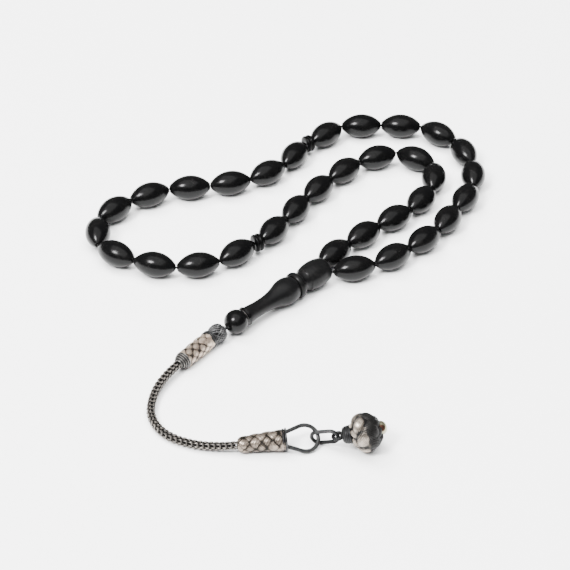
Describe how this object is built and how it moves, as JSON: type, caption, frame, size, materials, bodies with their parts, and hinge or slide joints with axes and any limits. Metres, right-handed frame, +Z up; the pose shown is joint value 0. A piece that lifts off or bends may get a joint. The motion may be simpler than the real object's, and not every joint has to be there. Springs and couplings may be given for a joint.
{
  "type": "misbaha prayer beads",
  "caption": "Strand of black almond-shaped prayer beads with marker discs and a turned head piece, and a tassel of woven silver sleeves, foxtail chain, ring, link and ball drop.",
  "frame": {"origin": "on the plane that the object lies on, under the middle of its box", "axes": "+Z up; +Y along the longest extent, from the tassel's drop towards the far end of the strand; +X to the right as seen from the tassel's side"},
  "size_m": [0.1272, 0.163, 0.0115],
  "materials": {
    "bead_black": "high polish, black",
    "head_black": "satin polish, black",
    "thread_black": "twisted waxed thread",
    "silver_woven": "woven silver wire, darkened in the recesses",
    "silver_wire": "darkened silver, satin",
    "tip_gilt": "pale gilt, satin"
  },
  "bodies": {
    "strand": {"strand_thread": "thread_black", "thread_tail": "thread_black"},
    "tassel": {"knot_ball": "silver_woven", "upper_sleeve": "silver_woven", "upper_wraps": "silver_wire", "tassel_chain": "silver_woven"},
    "skirt": {"lower_sleeve": "silver_woven", "tassel_ring": "silver_wire"},
    "link": {"tassel_link": "silver_wire"},
    "drop": {"drop_cap": "silver_wire", "drop_ball": "silver_woven", "drop_tip": "tip_gilt"},
    "head": {"head_piece": "head_black"},
    "finial": {"finial_bead": "head_black", "finial_seam_ring": "silver_wire"},
    "bead_01_body": {"bead_01": "bead_black"},
    "bead_02_body": {"bead_02": "bead_black"},
    "bead_03_body": {"bead_03": "bead_black"},
    "bead_04_body": {"bead_04": "bead_black"},
    "bead_05_body": {"bead_05": "bead_black"},
    "bead_06_body": {"bead_06": "bead_black"},
    "bead_07_body": {"bead_07": "bead_black"},
    "bead_08_body": {"bead_08": "bead_black"},
    "bead_09_body": {"bead_09": "bead_black"},
    "bead_10_body": {"bead_10": "bead_black"},
    "bead_11_body": {"bead_11": "bead_black"},
    "bead_12_body": {"bead_12": "bead_black"},
    "bead_13_body": {"bead_13": "bead_black"},
    "bead_14_body": {"bead_14": "bead_black"},
    "bead_15_body": {"bead_15": "bead_black"},
    "bead_16_body": {"bead_16": "bead_black"},
    "bead_17_body": {"bead_17": "bead_black"},
    "bead_18_body": {"bead_18": "bead_black"},
    "bead_19_body": {"bead_19": "bead_black"},
    "bead_20_body": {"bead_20": "bead_black"},
    "bead_21_body": {"bead_21": "bead_black"},
    "bead_22_body": {"bead_22": "bead_black"},
    "bead_23_body": {"bead_23": "bead_black"},
    "bead_24_body": {"bead_24": "bead_black"},
    "bead_25_body": {"bead_25": "bead_black"},
    "bead_26_body": {"bead_26": "bead_black"},
    "bead_27_body": {"bead_27": "bead_black"},
    "bead_28_body": {"bead_28": "bead_black"},
    "bead_29_body": {"bead_29": "bead_black"},
    "bead_30_body": {"bead_30": "bead_black"},
    "bead_31_body": {"bead_31": "bead_black"},
    "bead_32_body": {"bead_32": "bead_black"},
    "bead_33_body": {"bead_33": "bead_black"},
    "marker_disc_1_body": {"marker_disc_1": "bead_black"},
    "marker_disc_2_body": {"marker_disc_2": "bead_black"}
  },
  "joints": [
    {"name": "tassel_swing", "type": "hinge", "parent": "strand", "child": "tassel", "pos_m": [-0.01847, -0.02882, 0.0039], "axis": [0, 0, 1], "range_deg": [-25, 35]},
    {"name": "chain_bend", "type": "hinge", "parent": "tassel", "child": "skirt", "pos_m": [-0.03831, -0.06398, 0.0013], "axis": [0, 0, 1], "range_deg": [-20, 20], "deforming": ["tassel_chain"]},
    {"name": "link_swing", "type": "hinge", "parent": "skirt", "child": "link", "pos_m": [0.00777, -0.07435, 0.00248], "axis": [-0.1143, 0.8464, 0.5201], "range_deg": [-60, 0]},
    {"name": "drop_swing", "type": "hinge", "parent": "link", "child": "drop", "pos_m": [0.01307, -0.07577, 0.00429], "axis": [-0.1902, 0, 0.9817], "range_deg": [-40, 40]},
    {"name": "head_turn", "type": "hinge", "parent": "strand", "child": "head", "pos_m": [0.01057, -0.00107, 0.00441], "axis": [0.7229, 0.6908, 0.0127], "continuous": true},
    {"name": "finial_turn", "type": "hinge", "parent": "strand", "child": "finial", "pos_m": [-0.01847, -0.02882, 0.0039], "axis": [0.7229, 0.6908, 0.0127], "continuous": true},
    {"name": "marker_disc_1_spin", "type": "hinge", "parent": "strand", "child": "marker_disc_1_body", "pos_m": [0.00634, 0.06693, 0.00401], "axis": [-0.8477, -0.5304, 0], "continuous": true},
    {"name": "marker_disc_2_spin", "type": "hinge", "parent": "strand", "child": "marker_disc_2_body", "pos_m": [-0.00993, 0.01234, 0.00401], "axis": [0.8575, 0.5146, 0], "continuous": true},
    {"name": "bead_01_spin", "type": "hinge", "parent": "strand", "child": "bead_01_body", "pos_m": [0.01979, -0.00066, 0.00401], "axis": [0.9614, 0.2751, 0], "continuous": true},
    {"name": "bead_02_spin", "type": "hinge", "parent": "strand", "child": "bead_02_body", "pos_m": [0.0317, 0.00527, 0.00401], "axis": [0.799, 0.6014, 0], "continuous": true},
    {"name": "bead_03_spin", "type": "hinge", "parent": "strand", "child": "bead_03_body", "pos_m": [0.04172, 0.01397, 0.00401], "axis": [0.7075, 0.7068, 0], "continuous": true},
    {"name": "bead_04_spin", "type": "hinge", "parent": "strand", "child": "bead_04_body", "pos_m": [0.04983, 0.02453, 0.00401], "axis": [0.5003, 0.8658, 0], "continuous": true},
    {"name": "bead_05_spin", "type": "hinge", "parent": "strand", "child": "bead_05_body", "pos_m": [0.05623, 0.03606, 0.00401], "axis": [0.4698, 0.8828, 0], "continuous": true},
    {"name": "bead_06_spin", "type": "hinge", "parent": "strand", "child": "bead_06_body", "pos_m": [0.05967, 0.04888, 0.00401], "axis": [0.035, 0.9994, 0], "continuous": true},
    {"name": "bead_07_spin", "type": "hinge", "parent": "strand", "child": "bead_07_body", "pos_m": [0.05759, 0.06202, 0.00401], "axis": [-0.3421, 0.9397, 0], "continuous": true},
    {"name": "bead_08_spin", "type": "hinge", "parent": "strand", "child": "bead_08_body", "pos_m": [0.04982, 0.07269, 0.00401], "axis": [-0.7882, 0.6154, 0], "continuous": true},
    {"name": "bead_09_spin", "type": "hinge", "parent": "strand", "child": "bead_09_body", "pos_m": [0.03753, 0.07741, 0.00401], "axis": [-0.9976, 0.0692, 0], "continuous": true},
    {"name": "bead_10_spin", "type": "hinge", "parent": "strand", "child": "bead_10_body", "pos_m": [0.02427, 0.07752, 0.00401], "axis": [-0.9986, -0.0529, 0], "continuous": true},
    {"name": "bead_11_spin", "type": "hinge", "parent": "strand", "child": "bead_11_body", "pos_m": [0.01233, 0.07232, 0.00401], "axis": [-0.719, -0.695, 0], "continuous": true},
    {"name": "bead_12_spin", "type": "hinge", "parent": "strand", "child": "bead_12_body", "pos_m": [0.00173, 0.06014, 0.00401], "axis": [-0.4845, -0.8748, 0], "continuous": true},
    {"name": "bead_13_spin", "type": "hinge", "parent": "strand", "child": "bead_13_body", "pos_m": [-0.00699, 0.0501, 0.00401], "axis": [-0.7983, -0.6022, 0], "continuous": true},
    {"name": "bead_14_spin", "type": "hinge", "parent": "strand", "child": "bead_14_body", "pos_m": [-0.01894, 0.04427, 0.00401], "axis": [-0.9658, -0.2594, 0], "continuous": true},
    {"name": "bead_15_spin", "type": "hinge", "parent": "strand", "child": "bead_15_body", "pos_m": [-0.03196, 0.04173, 0.00401], "axis": [-0.9925, -0.1225, 0], "continuous": true},
    {"name": "bead_16_spin", "type": "hinge", "parent": "strand", "child": "bead_16_body", "pos_m": [-0.04464, 0.03772, 0.00401], "axis": [-0.8827, -0.47, 0], "continuous": true},
    {"name": "bead_17_spin", "type": "hinge", "parent": "strand", "child": "bead_17_body", "pos_m": [-0.05527, 0.0297, 0.00401], "axis": [-0.6943, -0.7197, 0], "continuous": true},
    {"name": "bead_18_spin", "type": "hinge", "parent": "strand", "child": "bead_18_body", "pos_m": [-0.05966, 0.01764, 0.00401], "axis": [0.0698, -0.9976, 0], "continuous": true},
    {"name": "bead_19_spin", "type": "hinge", "parent": "strand", "child": "bead_19_body", "pos_m": [-0.05323, 0.00672, 0.00401], "axis": [0.8384, -0.545, 0], "continuous": true},
    {"name": "bead_20_spin", "type": "hinge", "parent": "strand", "child": "bead_20_body", "pos_m": [-0.04107, 0.0013, 0.00401], "axis": [0.9658, -0.2593, 0], "continuous": true},
    {"name": "bead_21_spin", "type": "hinge", "parent": "strand", "child": "bead_21_body", "pos_m": [-0.02782, 0.00106, 0.00401], "axis": [0.9745, 0.2244, 0], "continuous": true},
    {"name": "bead_22_spin", "type": "hinge", "parent": "strand", "child": "bead_22_body", "pos_m": [-0.01607, 0.00717, 0.00401], "axis": [0.7435, 0.6687, 0], "continuous": true},
    {"name": "bead_23_spin", "type": "hinge", "parent": "strand", "child": "bead_23_body", "pos_m": [-0.00483, 0.01875, 0.00401], "axis": [0.5596, 0.8288, 0], "continuous": true},
    {"name": "bead_24_spin", "type": "hinge", "parent": "strand", "child": "bead_24_body", "pos_m": [0.00218, 0.02996, 0.00401], "axis": [0.5003, 0.8658, 0], "continuous": true},
    {"name": "bead_25_spin", "type": "hinge", "parent": "strand", "child": "bead_25_body", "pos_m": [0.0094, 0.04107, 0.00401], "axis": [0.5881, 0.8088, 0], "continuous": true},
    {"name": "bead_26_spin", "type": "hinge", "parent": "strand", "child": "bead_26_body", "pos_m": [0.01793, 0.05123, 0.00401], "axis": [0.695, 0.719, 0], "continuous": true},
    {"name": "bead_27_spin", "type": "hinge", "parent": "strand", "child": "bead_27_body", "pos_m": [0.02883, 0.05885, 0.00401], "axis": [0.9138, 0.4062, 0], "continuous": true},
    {"name": "bead_28_spin", "type": "hinge", "parent": "strand", "child": "bead_28_body", "pos_m": [0.04145, 0.05818, 0.00401], "axis": [0.8658, -0.5004, 0], "continuous": true},
    {"name": "bead_29_spin", "type": "hinge", "parent": "strand", "child": "bead_29_body", "pos_m": [0.04683, 0.04737, 0.00401], "axis": [-0.1217, -0.9926, 0], "continuous": true},
    {"name": "bead_30_spin", "type": "hinge", "parent": "strand", "child": "bead_30_body", "pos_m": [0.04209, 0.035, 0.00401], "axis": [-0.5732, -0.8194, 0], "continuous": true},
    {"name": "bead_31_spin", "type": "hinge", "parent": "strand", "child": "bead_31_body", "pos_m": [0.03302, 0.02526, 0.00401], "axis": [-0.7768, -0.6297, 0], "continuous": true},
    {"name": "bead_32_spin", "type": "hinge", "parent": "strand", "child": "bead_32_body", "pos_m": [0.02311, 0.01648, 0.00401], "axis": [-0.719, -0.695, 0], "continuous": true},
    {"name": "bead_33_spin", "type": "hinge", "parent": "strand", "child": "bead_33_body", "pos_m": [0.01393, 0.00697, 0.00401], "axis": [-0.6688, -0.7435, 0], "continuous": true}
  ]
}
